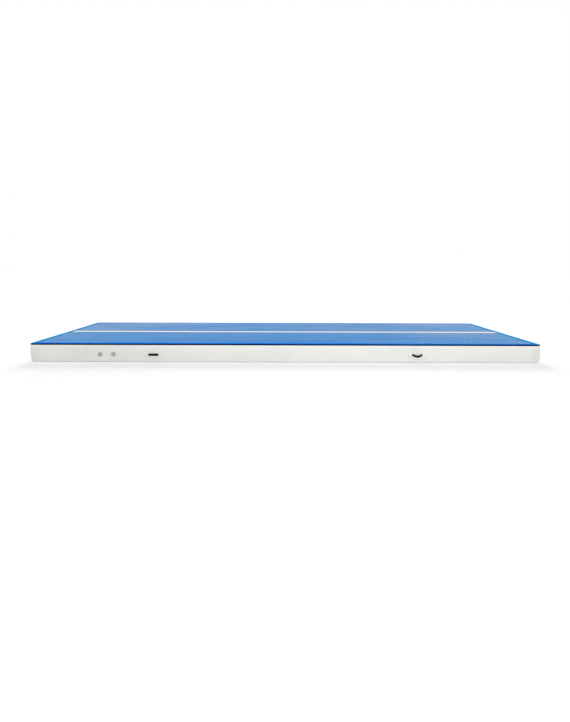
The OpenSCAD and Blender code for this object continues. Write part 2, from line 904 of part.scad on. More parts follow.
valve_spring_left();
valve_cap_left();
valve_cap_seal_left();
valve_gasket_right();
valve_body_right();
valve_backnut_right();
valve_plunger_right();
valve_poppet_seal_right();
valve_spring_right();
valve_cap_right();
valve_cap_seal_right();
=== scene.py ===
"""Looks of the air track mat: coated fabrics, bonded tapes, webbing handles and moulded valves.

Metres, in the part's own frame: +X runs along the length, the valve side faces -Y and the floor is Z = 0.
"""

import json
import math

import bpy
from mathutils import Matrix, Vector

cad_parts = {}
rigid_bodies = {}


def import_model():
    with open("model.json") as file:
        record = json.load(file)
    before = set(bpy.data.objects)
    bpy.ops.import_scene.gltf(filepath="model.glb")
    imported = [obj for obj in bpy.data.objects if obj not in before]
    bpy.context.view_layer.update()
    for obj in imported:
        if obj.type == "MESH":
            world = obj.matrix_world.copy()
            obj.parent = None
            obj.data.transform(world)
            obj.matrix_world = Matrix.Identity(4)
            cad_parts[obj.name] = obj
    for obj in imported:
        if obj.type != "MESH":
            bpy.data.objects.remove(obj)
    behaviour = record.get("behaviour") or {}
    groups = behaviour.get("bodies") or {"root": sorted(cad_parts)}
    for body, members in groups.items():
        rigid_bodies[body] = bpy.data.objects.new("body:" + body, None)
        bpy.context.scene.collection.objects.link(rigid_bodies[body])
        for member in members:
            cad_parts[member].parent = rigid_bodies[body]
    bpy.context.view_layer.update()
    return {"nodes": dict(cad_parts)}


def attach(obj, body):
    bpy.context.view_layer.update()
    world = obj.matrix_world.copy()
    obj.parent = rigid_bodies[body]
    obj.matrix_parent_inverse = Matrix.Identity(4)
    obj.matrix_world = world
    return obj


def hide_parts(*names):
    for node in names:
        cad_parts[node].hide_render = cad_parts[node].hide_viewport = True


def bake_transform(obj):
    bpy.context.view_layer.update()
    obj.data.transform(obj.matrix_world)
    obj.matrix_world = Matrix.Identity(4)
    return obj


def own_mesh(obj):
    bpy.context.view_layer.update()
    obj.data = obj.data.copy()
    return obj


for left_over in list(bpy.data.objects):
    bpy.data.objects.remove(left_over)

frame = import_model()

# Mat
MAT_LENGTH = 6.0
MAT_WIDTH = 2.0
MAT_HEIGHT = 0.220
SKIN = 0.002
CORNER_R = 0.045
SHOULDER_R = 0.020
SIDE_BULGE = 0.005
GLUE = 0.0001

# Tapes and piping
TAPE = 0.001
BORDER_W = 0.075
UPPER_TAPE_H = 0.024
LOWER_TAPE_H = 0.022
LOWER_LAP = 0.040
WRAP_LEG = 0.112
STRIPE_W = 0.100
STRIPE_T = 0.0006
TAPE_GAP = 0.0008
PIPING_R = 0.008
PIPING_ANGLE = 55

# Yarns: round and waist are shares of the width, rings and waisted length shares of the height
YARN_PITCH = 0.160
YARN_W = 0.003
YARN_MARGIN = 0.100
YARN_ROUND = 0.6
YARN_WAIST = 0.75
YARN_RINGS = (-0.46, 0.0, 0.46)
WAIST_HALF = 0.47

# Handles
HANDLE_INSET = 1.455
HANDLE_Z = 0.093
HANDLE_SPAN = 0.120
HANDLE_BOW = 0.032
STRAP_BEND = 0.016
STRAP_W = 0.025
STRAP_T = 0.003
STRAP_CLEAR = 0.0002
STRAP_ROUND = 0.35
SWING_RISE = 0.013
TWIST_START = 0.35
WEB_TWIST = 0.3
SMALL_DROOP = -10
LARGE_DROOP = 35
PATCH_L = 0.226
PATCH_H = 0.070
PATCH_T = 0.0015
PATCH_R = 0.020
PATCH_ROUND = 0.0005
ROUND_ANGLE = 40
ANCHOR_L = 0.044
ANCHOR_H = 0.046
ANCHOR_T = 0.0056
ANCHOR_R = 0.010
PAD_ROUND = 0.0022
TAIL_SHARE = 0.75

# Valves
VALVE_INSET = 0.831
VALVE_PITCH = 0.154
VALVE_Z = 0.095
BARREL_HOLE = 0.0364
DOUBLER_L = 0.300
DOUBLER_H = 0.110
DOUBLER_T = 0.002
HUB_DEPTH = 0.018
BUTTON_T = 0.004
STEM_D = 0.006
WIRE_D = 0.001
SPRING_CLEAR = 0.0006
SPRING_SEAT = 0.00005
SPRING_TURNS = 5
CAP_FACE = 0.011
BAR_H = 0.006

# The cross-section: distance out from a corner's centre, and height.
Z_LO = TAPE + GLUE
Z_HI = MAT_HEIGHT - TAPE - GLUE
Z_MID = (Z_LO + Z_HI) / 2
EDGE_R = CORNER_R - TAPE - GLUE
FLAT_R = EDGE_R - SIDE_BULGE - SHOULDER_R
RISE = Z_HI - SHOULDER_R - Z_MID
ARM = (SIDE_BULGE**2 + RISE**2) / (2 * SIDE_BULGE)
SIDE_R = ARM + SHOULDER_R
SIDE_CENTRE = (EDGE_R - SIDE_R, Z_MID)
TOP_CENTRE = (FLAT_R, Z_HI - SHOULDER_R)
LOW_CENTRE = (FLAT_R, Z_LO + SHOULDER_R)
LEAN = math.degrees(math.atan2(ARM - SIDE_BULGE, RISE))
CENTRE_X = MAT_LENGTH / 2 - CORNER_R
CENTRE_Y = MAT_WIDTH / 2 - CORNER_R
WALL_Y = CENTRE_Y + EDGE_R
PIPING_HALF = 2 * math.degrees(math.asin(PIPING_R / (2 * (SHOULDER_R + GLUE))))
EDGE_TURN = math.degrees(TAPE_GAP / SHOULDER_R)
BORDER_END = PIPING_ANGLE - PIPING_HALF - EDGE_TURN
UPPER_START = min(PIPING_ANGLE + PIPING_HALF + EDGE_TURN, LEAN)
UPPER_HI = TOP_CENTRE[1] + SHOULDER_R * math.cos(math.radians(UPPER_START))
UPPER_LO = UPPER_HI - UPPER_TAPE_H
WRAP_HI = UPPER_LO - TAPE_GAP
WRAP_LO = Z_LO + LOWER_TAPE_H + TAPE_GAP

PATCH_TOP = GLUE + PATCH_T
ANCHOR_BASE = PATCH_TOP + GLUE
STRAP_BASE = ANCHOR_BASE + STRAP_CLEAR + STRAP_T / 2
HALF_SPAN = HANDLE_SPAN / 2
BOW = 2 * math.atan(HANDLE_BOW / HALF_SPAN)
CROWN_R = HALF_SPAN / math.sin(BOW) - STRAP_BEND
SWING_H = STRAP_BASE + SWING_RISE
SWING_X = math.sqrt(CROWN_R**2 - (CROWN_R - HANDLE_BOW + SWING_RISE) ** 2)
HANDLE_X = MAT_LENGTH / 2 - HANDLE_INSET
TAIL_L = ANCHOR_L * TAIL_SHARE
ANCHOR_MID = HALF_SPAN + ANCHOR_L / 2
VALVE_X = (-MAT_LENGTH / 2 + VALVE_INSET, -MAT_LENGTH / 2 + VALVE_INSET + VALVE_PITCH)
PANEL_MID = sum(VALVE_X) / 2

HANDLES = {
    "front_left": (-HANDLE_X, 0, SMALL_DROOP),
    "front_right": (HANDLE_X, 0, LARGE_DROOP),
    "rear_left": (HANDLE_X, 180, LARGE_DROOP),
    "rear_right": (-HANDLE_X, 180, SMALL_DROOP),
}
CORNERS = ("front_left", "front_right", "rear_left", "rear_right")
VALVES = ("left", "right")

# Finishes: screen colours from 0 to 255, patterns in repeats per metre, pitches and depths in metres
PATTERN_SPAN = (0.3, 0.7)
SHADE_PLACES = (0.25, 0.75)
PIT_SPAN = (0, 0.8)
MOULD_CLOUDS = (30, 30, 30)
MOULD_WORN = (80, 80, 80)
MOULD_GRAIN = (2500, 2500, 2500)
MOULD_DEPTH = 0.00008
RIBS = {"Scale": 180.0, "Distortion": 1.2, "Detail": 2.0}
ROWS = {"Scale": 140.0, "Distortion": 0.6, "Detail": 1.0}
RIB_DEPTH = 0.0004
ROW_DEPTH = 0.0003
RIB_PLACES = (0.1, 0.9)
RIB_SHADES = ((4, 4, 5), (16, 16, 17))
WEB_WORN = (60, 60, 60)
WEB_ROUGH = (0.7, 0.85)
WEB_GLOSS = 0.08
END_BEAD = (10, 149, 212)
PALE_BAR = (208, 208, 213)

# The colour sockets of a Mix node, which share their names with its other sockets
MIX_SHARE = 0
MIX_UNDER = 6
MIX_OVER = 7
MIX_RESULT = 2

WALL_CLOTH = {
    "gloss": 0.35,
    "rough": (0.44, 0.58),
    "clouds": (1.4, 1.4, 5.0),
    "flecks": (30.0, 30.0, 30.0),
    "fleck_share": 0.2,
    "worn": (1.5, 1.5, 4.0),
    "waves": (1.6, 1.6, 6.0),
    "wave_depth": 0.004,
    "pitch": 0.007,
    "pit_depth": 0.0003,
}
BORDER_CLOTH = {
    "gloss": 0.01,
    "rough": (0.70, 0.82),
    "clouds": (2.0, 2.0, 2.0),
    "flecks": (40.0, 40.0, 40.0),
    "fleck_share": 0.2,
    "worn": (3.0, 3.0, 3.0),
    "waves": (3.0, 3.0, 3.0),
    "wave_depth": 0.002,
    "pitch": 0.006,
}
CLOTHS = {
    "top_fabric": {
        "shades": ((12, 119, 197), (58, 137, 202), (130, 162, 202)),
        "places": (0.20, 0.50, 0.80),
        "gloss": 0.14,
        "rough": (0.46, 0.60),
        "clouds": (0.6, 3.0, 1.0),
        "turn": 0.04,
        "flecks": (20.0, 9.0, 1.0),
        "fleck_share": 0.45,
        # Painted sheen: darker, more saturated blue at the front middle, paler and greyer towards the
        # back and the ends
        "painted_sheen": {"start": (0.0, -1.1), "reach": (3.4, 2.2), "span": (0.1, 1.1), "shift": (-0.19, 0.15)},
        "worn": (1.1, 5.0, 1.0),
        "waves": (2.2, 4.5, 1.0),
        "wave_depth": 0.004,
        "pitch": 0.009,
        "loose": 0.25,
        "pit_depth": 0.0012,
        "pit_shade": 0.14,
    },
    "wall_fabric": {"shades": ((224, 224, 219), (239, 239, 235)), **WALL_CLOTH},
    "corner_fabric": {"shades": ((217, 217, 212), (233, 233, 229)), **WALL_CLOTH},
    "border_tape": {"shades": ((0, 102, 219), (4, 128, 242)), **BORDER_CLOTH},
    "border_tape_ends": {"shades": ((0, 134, 201), (20, 163, 223)), **BORDER_CLOTH},
    "stripe_tape": {
        "shades": ((236, 228, 213), (250, 244, 231)),
        "gloss": 0.1,
        "rough": (0.72, 0.86),
        "clouds": (1.5, 8.0, 1.0),
        "flecks": (26.0, 26.0, 1.0),
        "fleck_share": 0.3,
        "worn": (2.0, 8.0, 1.0),
        "waves": (2.2, 4.5, 1.0),
        "wave_depth": 0.003,
        "pitch": 0.006,
    },
    "seam_tape": {
        "shades": ((228, 228, 225), (243, 243, 240)),
        "gloss": 0.35,
        "rough": (0.40, 0.52),
        "clouds": (1.5, 1.5, 3.0),
        "flecks": (40.0, 40.0, 40.0),
        "fleck_share": 0.2,
        "worn": (2.0, 2.0, 6.0),
        "waves": (2.5, 2.5, 6.0),
        "wave_depth": 0.002,
        "pitch": 0.005,
    },
    "piping": {
        "shades": ((3, 3, 4), (9, 9, 10)),
        "gloss": 0.06,
        "rough": (0.55, 0.7),
        "clouds": (4.0, 4.0, 4.0),
        "flecks": (60.0, 60.0, 60.0),
        "fleck_share": 0.3,
        "worn": (6.0, 6.0, 6.0),
        "waves": (8.0, 8.0, 8.0),
        "wave_depth": 0.001,
        "pitch": 0.004,
    },
    "yarn": {
        "shades": ((226, 222, 212), (240, 237, 230)),
        "gloss": 0.2,
        "rough": (0.75, 0.9),
        "clouds": (40.0, 40.0, 12.0),
        "flecks": (400.0, 400.0, 60.0),
        "fleck_share": 0.4,
        "worn": (30.0, 30.0, 30.0),
        "waves": (300.0, 300.0, 40.0),
        "wave_depth": 0.0004,
        "pitch": 0.001,
        "loose": 0.6,
    },
}
# Dark and light shade, and the range of roughness
MOULDINGS = {
    "valve_body": ((198, 198, 201), (208, 208, 211), (0.36, 0.48)),
    "valve_cap": ((146, 146, 155), (156, 156, 165), (0.32, 0.44)),
    "seal": ((26, 26, 27), (38, 38, 39), (0.6, 0.75)),
    "spring_wire": ((176, 178, 182), (200, 202, 206), (0.22, 0.34)),
}

# Stage
WHITE = (1, 1, 1, 1)
WORLD_LIT = 0.50
FLOOR_SIZE = 160
FLOOR_TONE = 0.75
FLOOR_ROUGH = 0.9
FLOOR_SPOT = (0.4, -2.5, 0.0)
GLOW_SPAN = (3.0, 5.2)
FLOOR_GLOW = (0.27, 0.35)
SOFTBOX_PLACE = Vector((1.0, -7.6, 1.5))
SOFTBOX_AIM = Vector((0.6, -1.0, 0.1))
SOFTBOX_SIZE = (3.0, 1.4)
SOFTBOX_POWER = 175
SUN_PLACE = (0, 0, 5)
# Heading, height and spread in degrees, and strength
SUNS = {"front_light": (-90, 60, 40, 0.55), "back_light": (90, 28, 30, 1.67)}
CAMERA_PLACE = (-0.047, -6.189, 1.122)
CAMERA_TILT = math.radians(84)
CAMERA_ROLL = math.radians(0.16)
CAMERA_LENS = 22.42
CAMERA_SENSOR = 36
CAMERA_SHIFT = (0.005, -0.0654)

# How finely curves are drawn
ARC_STEPS = 10
SIDE_STEPS = 16
TURN_STEPS = 12
LONG_STEPS = 24
SHORT_STEPS = 8
LIP_STEPS = 3
FACE_STEPS = 4
FOOT_STEPS = 2
LEG_STEPS = 4
CROWN_STEPS = 24
BEND_STEPS = 12
TAIL_STEPS = 6
WEB_ROWS = 6
PAD_BANDS = 6
PATCH_BANDS = 8
STRAP_ROUND_STEPS = 3
PAD_ROUND_STEPS = 4
PATCH_ROUND_STEPS = 2
HOLE_SIDES = 48
YARN_SIDES = 6
WIRE_SIDES = 10
COIL_STEPS = 20
MERGE = 1e-5
MIN_RUN = 1e-4
SIDE_FACING = 0.5


# Hand tools


def put_down():
    """Leaves edit mode, with nothing selected."""
    if bpy.context.object and bpy.context.object.mode != "OBJECT":
        bpy.ops.object.mode_set(mode="OBJECT")
    bpy.ops.object.select_all(action="DESELECT")


def take_up(piece):
    """Makes one piece the only selected one."""
    put_down()
    piece.select_set(True)
    bpy.context.view_layer.objects.active = piece


def open_up(piece):
    """Edit mode on one piece, with all of it selected."""
    take_up(piece)
    bpy.ops.object.mode_set(mode="EDIT")
    bpy.ops.mesh.select_mode(type="VERT")
    bpy.ops.mesh.select_all(action="SELECT")


def pick(piece, kind, wanted):
    """Edit mode on one piece, with the vertices or edges that the test takes selected."""
    open_up(piece)
    bpy.ops.mesh.select_mode(type=kind)
    bpy.ops.mesh.select_all(action="DESELECT")
    bpy.ops.object.mode_set(mode="OBJECT")
    parts = {"VERT": piece.data.vertices, "EDGE": piece.data.edges}[kind]
    for part in parts:
        part.select = wanted(part)
    bpy.ops.object.mode_set(mode="EDIT")


def close_up(piece):
    """Merges doubles, turns the faces outward and leaves edit mode."""
    open_up(piece)
    bpy.ops.mesh.remove_doubles(threshold=MERGE)
    bpy.ops.mesh.normals_make_consistent(inside=False)
    put_down()


def shape_with(piece, kind, **settings):
    """Adds one modifier and applies it."""
    take_up(piece)
    tool = piece.modifiers.new(kind.lower(), kind)
    for key, value in settings.items():
        setattr(tool, key, value)
    bpy.ops.object.modifier_apply(modifier=tool.name)


def copy_of(piece, name):
    take_up(piece)
    bpy.ops.object.duplicate(linked=False)
    made = bpy.context.object
    made.name = name
    return made


def settle(piece):
    """Puts a piece's place and turn into its mesh."""
    take_up(piece)
    bpy.ops.object.transform_apply(location=True, rotation=True, scale=True)


def turned_by(degrees):
    """A turn about the mat's middle."""
    return Matrix.Rotation(math.radians(degrees), 4, "Z")


def stand_at(piece, turn, x=0.0, y=0.0):
    """Moves a piece that was drawn on the front wall, and turns it round to its own wall."""
    piece.matrix_world = turned_by(turn) @ Matrix.Translation((x, y, 0))
    settle(piece)


def cut_away(piece, cutter):
    """Takes one shape out of a piece."""
    shape_with(piece, "BOOLEAN", operation="DIFFERENCE", solver="EXACT", object=cutter)
    bpy.data.objects.remove(cutter)


def hand_in(piece, name, finish, nodes, body="mat", smooth=35):
    """Names a finished piece, gives it its finish and puts it on its body in place of its nodes."""
    take_up(piece)
    bpy.ops.object.shade_smooth_by_angle(angle=math.radians(smooth))
    piece.name = name
    piece.data.name = name
    piece.data.materials.clear()
    piece.data.materials.append(finish)
    if body:
        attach(piece, body)
    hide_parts(*nodes)


# Cross-sections, drawn at the start of the front wall and carried along it


def section_start(r, z, x=-CENTRE_X):
    """A single point of the cross-section."""
    put_down()
    bpy.ops.mesh.primitive_plane_add(size=SKIN, location=(x, -CENTRE_Y - r, z))
    piece = bpy.context.object
    settle(piece)
    open_up(piece)
    bpy.ops.mesh.merge(type="CENTER")
    return piece


def section_line(dr, dz):
    bpy.ops.mesh.extrude_region_move(TRANSFORM_OT_translate={"value": (0, -dr, dz)})


def section_out(degrees, length):
    """A step straight out, or in, at an angle from straight up."""
    section_line(length * math.sin(math.radians(degrees)), length * math.cos(math.radians(degrees)))


def section_arc(centre, degrees, steps):
    """An arc that turns from the top outward and down, or back where the angle is negative."""
    bpy.ops.mesh.spin(
        steps=steps,
        angle=-math.radians(degrees),
        center=(0, -CENTRE_Y - centre[0], centre[1]),
        axis=(1, 0, 0),
    )


def on_shoulder(degrees, grow):
    """A point off the upper rounded edge, at an angle from straight up."""
    radius = SHOULDER_R + grow
    angle = math.radians(degrees)
    return TOP_CENTRE[0] + radius * math.sin(angle), TOP_CENTRE[1] + radius * math.cos(angle)


def side_angle(z):
    """The angle from straight up, on the bulged face, of a height."""
    return 90 - math.degrees(math.asin((z - Z_MID) / SIDE_R))


def on_side(z, grow):
    """A point off the bulged face, square out from a height on it."""
    angle = math.radians(side_angle(z))
    radius = SIDE_R + grow
    return SIDE_CENTRE[0] + radius * math.sin(angle), SIDE_CENTRE[1] + radius * math.cos(angle)


def section_done():
    """Closes the drawn cross-section, and selects it to be carried along."""
    bpy.ops.mesh.select_all(action="SELECT")
    bpy.ops.mesh.remove_doubles(threshold=MERGE)


def cap_ends(piece):
    """Fills the open ends of what was drawn, and finishes it."""
    bpy.ops.mesh.select_all(action="SELECT")
    bpy.ops.mesh.fill_holes(sides=0)
    close_up(piece)


def draw_along(step, count):
    for _ in range(count):
        bpy.ops.mesh.extrude_region_move(TRANSFORM_OT_translate={"value": step})


def turn_corner(x, y, share=1.0):
    """Carries the drawn end round an upright corner, or part of the way."""
    steps = round(TURN_STEPS * abs(share))
    bpy.ops.mesh.spin(steps=steps, angle=-share * math.pi / 2, center=(x, y, 0), axis=(0, 0, 1))


def carry_round(piece):
    """Carries the drawn cross-section right round the mat."""
    section_done()
    long_step = 2 * CENTRE_X / LONG_STEPS
    short_step = 2 * CENTRE_Y / SHORT_STEPS
    draw_along((long_step, 0, 0), LONG_STEPS)
    turn_corner(CENTRE_X, -CENTRE_Y)
    draw_along((0, short_step, 0), SHORT_STEPS)
    turn_corner(CENTRE_X, CENTRE_Y)
    draw_along((-long_step, 0, 0), LONG_STEPS)
    turn_corner(-CENTRE_X, CENTRE_Y)
    draw_along((0, -short_step, 0), SHORT_STEPS)
    turn_corner(-CENTRE_X, -CENTRE_Y)
    close_up(piece)


def wall_face(z):
    """How far the wall's face stands out from the mat's middle line at a height."""
    return CENTRE_Y + SIDE_CENTRE[0] + math.sqrt(SIDE_R**2 - (z - Z_MID) ** 2)


def seat_on_wall(piece, lift):
    """Lays a piece's vertices on the front wall's face, a distance out from it."""
    for v in piece.data.vertices:
        v.co.y = -wall_face(v.co.z) - lift


def wall_plate(x, z, length, height, radius, bands):
    """A flat plate with rounded corners in front of the wall, in level bands so that it can bend."""
    put_down()
    bpy.ops.mesh.primitive_plane_add(size=1, rotation=(math.pi / 2, 0, 0))
    piece = bpy.context.object
    piece.scale = (length, height, 1)
    settle(piece)
    open_up(piece)
    bpy.ops.mesh.bevel(offset=radius, segments=ARC_STEPS, affect="VERTICES")
    for band in range(1, bands):
        bpy.ops.mesh.select_all(action="SELECT")
        bpy.ops.mesh.bisect(plane_co=(0, 0, height * (band / bands - 0.5)), plane_no=(0, 0, 1))
    put_down()
    piece.location = (x, -WALL_Y, z)
    settle(piece)
    return piece


# Finishes


def feed(tree, socket, value):
    """Sets an input, or links it where the value is another node's output."""
    if isinstance(value, bpy.types.NodeSocket):
        tree.links.new(value, socket)
    else:
        socket.default_value = value


def add(tree, kind, settings=None, **inputs):
    """One node, with its settings, and its inputs set or linked."""
    made = tree.nodes.new(kind)
    for key, value in (settings or {}).items():
        setattr(made, key, value)
    for key, value in inputs.items():
        feed(tree, made.inputs[key.replace("_", " ")], value)
    return made


def worked(tree, operation, *values, kind="ShaderNodeMath"):
    """One step of arithmetic on numbers or patterns, or on places."""
    made = add(tree, kind, {"operation": operation})
    for socket, value in zip(made.inputs, values):
        feed(tree, socket, value)
    return made.outputs["Value"]


def mapped(tree, value, given, wanted):
    """A number moved from one range to another, and held within it."""
    return add(
        tree,
        "ShaderNodeMapRange",
        Value=value,
        From_Min=given[0],
        From_Max=given[1],
        To_Min=wanted[0],
        To_Max=wanted[1],
    ).outputs["Result"]


def colour(red, green, blue):
    """A colour as it is seen on a screen, 0 to 255, as Blender's linear one."""

    def linear(c):
        c = c / 255
        return c / 12.92 if c <= 0.04045 else ((c + 0.055) / 1.055) ** 2.4

    return linear(red), linear(green), linear(blue), 1


def new_finish(name):
    finish = bpy.data.materials.new(name)
    finish.use_nodes = True
    tree = finish.node_tree
    return finish, tree, tree.nodes["Principled BSDF"]


def own_place(tree):
    """Where a point is on the piece."""
    return add(tree, "ShaderNodeTexCoord").outputs["Object"]


def placed(tree, stretch, turn=0.0, shift=(0, 0, 0)):
    """The piece's own coordinates, stretched, turned and moved for a pattern."""
    return add(
        tree,
        "ShaderNodeMapping",
        Vector=own_place(tree),
        Scale=stretch,
        Rotation=(0, 0, turn),
        Location=shift,
    ).outputs["Vector"]


def cloudy(tree, stretch, detail=4.0, rough=0.55, turn=0.0):
    """A soft uneven pattern, from 0 to 1."""
    return add(
        tree,
        "ShaderNodeTexNoise",
        Vector=placed(tree, stretch, turn),
        Scale=1.0,
        Detail=detail,
        Roughness=rough,
    ).outputs["Fac"]


def ramp(tree, factor, places, shades):
    """Colours spread over a pattern."""
    made = add(tree, "ShaderNodeValToRGB", Fac=factor)
    bar = made.color_ramp.elements
    while len(bar) < len(places):
        bar.new(0.5)
    for element, place, shade in zip(bar, places, shades):
        element.position = place
        element.color = colour(*shade)
    return made.outputs["Color"]


def raised(tree, height, distance, under=None):
    """Relief from a pattern, over the relief under it."""
    made = add(tree, "ShaderNodeBump", Height=height, Distance=distance)
    if under:
        tree.links.new(under, made.inputs["Normal"])
    return made.outputs["Normal"]


def blended(tree, first, second, share):
    """Two patterns mixed into one."""
    made = add(tree, "ShaderNodeMix", {"data_type": "FLOAT"}, Factor=share, A=first, B=second)
    return made.outputs["Result"]


def with_painted_sheen(tree, pattern, start, reach, span, shift):
    """Painted sheen: a pattern moved slowly from one shade to another with distance from a place on the
    cloth, standing in for the white reflection seen at grazing angles.
    """
    stretch = (1 / reach[0], 1 / reach[1], 0)
    back = (-start[0] / reach[0], -start[1] / reach[1], 0)
    away = worked(tree, "LENGTH", placed(tree, stretch, shift=back), kind="ShaderNodeVectorMath")
    return worked(tree, "ADD", pattern, mapped(tree, away, span, shift))


def coated_cloth(
    name,
    shades,
    gloss,
    rough,
    clouds,
    flecks,
    fleck_share,
    worn,
    waves,
    wave_depth,
    pitch,
    places=SHADE_PLACES,
    loose=0.3,
    pit_depth=0.0002,
    pit_shade=0.2,
    turn=0.0,
    painted_sheen=None,
):
    """A PVC-coated cloth: clouded and flecked colour; painted shade, darker in its dimples and paler on
    the ridges between; where given, a painted sheen; soft undulation and a fine grain.
    """
    finish, tree, shader = new_finish(name)
    soft = cloudy(tree, clouds, turn=turn)
    fine = cloudy(tree, flecks, detail=3.0, rough=0.7)
    pits = add(
        tree,
        "ShaderNodeTexVoronoi",
        {"feature": "SMOOTH_F1"},
        Vector=placed(tree, (1, 1, 1)),
        Scale=1 / pitch,
        Randomness=loose,
    ).outputs["Distance"]
    shade = blended(tree, soft, fine, fleck_share)
    # Painted shade: darker in the dimples' hollows, paler on the ridges between them
    shade = worked(tree, "ADD", shade, mapped(tree, pits, PIT_SPAN, (-pit_shade, pit_shade)))
    # Painted sheen: paler and greyer with distance from the front middle, in place of the white
    # reflection at grazing angles
    if painted_sheen:
        shade = with_painted_sheen(tree, shade, **painted_sheen)
    tree.links.new(ramp(tree, shade, places, shades), shader.inputs["Base Color"])
    rubbed = cloudy(tree, worn)
    tree.links.new(mapped(tree, rubbed, PATTERN_SPAN, rough), shader.inputs["Roughness"])
    shader.inputs["Specular IOR Level"].default_value = gloss
    under = raised(tree, cloudy(tree, waves, detail=2.0), wave_depth)
    tree.links.new(raised(tree, pits, pit_depth, under=under), shader.inputs["Normal"])
    return finish


def moulded(name, dark, light, rough):
    """Moulded plastic or rubber: an even colour with a fine spark-eroded grain."""
    finish, tree, shader = new_finish(name)
    shade = ramp(tree, cloudy(tree, MOULD_CLOUDS), PATTERN_SPAN, (dark, light))
    tree.links.new(shade, shader.inputs["Base Color"])
    rubbed = cloudy(tree, MOULD_WORN)
    tree.links.new(mapped(tree, rubbed, PATTERN_SPAN, rough), shader.inputs["Roughness"])
    grain = cloudy(tree, MOULD_GRAIN, detail=2.0)
    tree.links.new(raised(tree, grain, MOULD_DEPTH), shader.inputs["Normal"])
    return finish


def woven_webbing():
    """Black polyester webbing: ribs across it and rows along it, on the strap's own map."""
    finish, tree, shader = new_finish("webbing")
    along = add(tree, "ShaderNodeUVMap", {"uv_map": "weave"}).outputs["UV"]
    ribs, rows = (
        add(
            tree,
            "ShaderNodeTexWave",
            {"wave_type": "BANDS", "bands_direction": way},
            Vector=along,
            **weave,
        ).outputs["Fac"]
        for way, weave in (("X", RIBS), ("Y", ROWS))
    )
    under = raised(tree, ribs, RIB_DEPTH)
    tree.links.new(raised(tree, rows, ROW_DEPTH, under=under), shader.inputs["Normal"])
    tree.links.new(ramp(tree, ribs, RIB_PLACES, RIB_SHADES), shader.inputs["Base Color"])
    rubbed = cloudy(tree, WEB_WORN)
    tree.links.new(mapped(tree, rubbed, PATTERN_SPAN, WEB_ROUGH), shader.inputs["Roughness"])
    shader.inputs["Specular IOR Level"].default_value = WEB_GLOSS
    return finish


def paint_over(finish, share, shade):
    """Lays one colour over a finish, by a share from 0 to 1."""
    tree = finish.node_tree
    base = tree.nodes["Principled BSDF"].inputs["Base Color"]
    under = base.links[0].from_socket
    mixed = add(tree, "ShaderNodeMix", {"data_type": "RGBA"})
    tree.links.new(share, mixed.inputs[MIX_SHARE])
    tree.links.new(under, mixed.inputs[MIX_UNDER])
    mixed.inputs[MIX_OVER].default_value = colour(*shade)
    tree.links.new(mixed.outputs[MIX_RESULT], base)


def pale_outward(finish, shade, low, high):
    """Lightens a finish from one distance out from the mat's middle to another."""
    tree = finish.node_tree
    apart = add(tree, "ShaderNodeSeparateXYZ", Vector=own_place(tree)).outputs
    paint_over(finish, mapped(tree, apart["Y"], (-low, -high), (0, 1)), shade)


def tint_ends(finish, shade):
    """Gives a finish another colour along the mat's two ends, as far as the mitres of the corners."""
    tree = finish.node_tree
    apart = add(tree, "ShaderNodeSeparateXYZ", Vector=own_place(tree)).outputs
    beyond = [
        worked(tree, "SUBTRACT", worked(tree, "ABSOLUTE", apart[axis]), centre)
        for axis, centre in (("X", CENTRE_X), ("Y", CENTRE_Y))
    ]
    paint_over(finish, worked(tree, "GREATER_THAN", *beyond), shade)


def make_finishes():
    made = {name: coated_cloth(name, **cloth) for name, cloth in CLOTHS.items()}
    made.update({name: moulded(name, *moulding) for name, moulding in MOULDINGS.items()})
    made["webbing"] = woven_webbing()
    tint_ends(made["piping"], END_BEAD)
    # The bar that stands out from the valve cap's face is paler than the face, the more so the farther
    # out
    pale_outward(made["valve_cap"], PALE_BAR, WALL_Y + CAP_FACE, WALL_Y + CAP_FACE + BAR_H)
    wire = made["spring_wire"].node_tree.nodes["Principled BSDF"]
    wire.inputs["Metallic"].default_value = 1.0
    return made


# Mat pieces


def flat_panel(length, width, radius, low, high):
    """A flat panel with rounded corners, between two heights."""
    put_down()
    bpy.ops.mesh.primitive_plane_add(size=1, location=(0, 0, low))
    piece = bpy.context.object
    piece.scale = (length, width, 1)
    settle(piece)
    open_up(piece)
    bpy.ops.mesh.bevel(offset=radius, segments=ARC_STEPS, affect="VERTICES")
    bpy.ops.mesh.select_all(action="SELECT")
    bpy.ops.mesh.extrude_region_move(TRANSFORM_OT_translate={"value": (0, 0, high - low)})
    close_up(piece)
    return piece


def make_panels(finishes):
    length = 2 * (CENTRE_X + FLAT_R - GLUE)
    width = 2 * (CENTRE_Y + FLAT_R - GLUE)
    top = flat_panel(length, width, FLAT_R - GLUE, Z_HI - SKIN, Z_HI)
    hand_in(top, "top_panel", finishes["top_fabric"], ["top_skin"])
    bottom = flat_panel(length, width, FLAT_R - GLUE, Z_LO, Z_LO + SKIN)
    hand_in(bottom, "bottom_panel", finishes["wall_fabric"], ["bottom_skin"])
    stripe_l = MAT_LENGTH - 2 * BORDER_W - 2 * TAPE_GAP
    stripe = flat_panel(stripe_l, STRIPE_W, TAPE, Z_HI + GLUE, Z_HI + GLUE + STRIPE_T)
    hand_in(stripe, "middle_stripe", finishes["stripe_tape"], ["centre_stripe"])


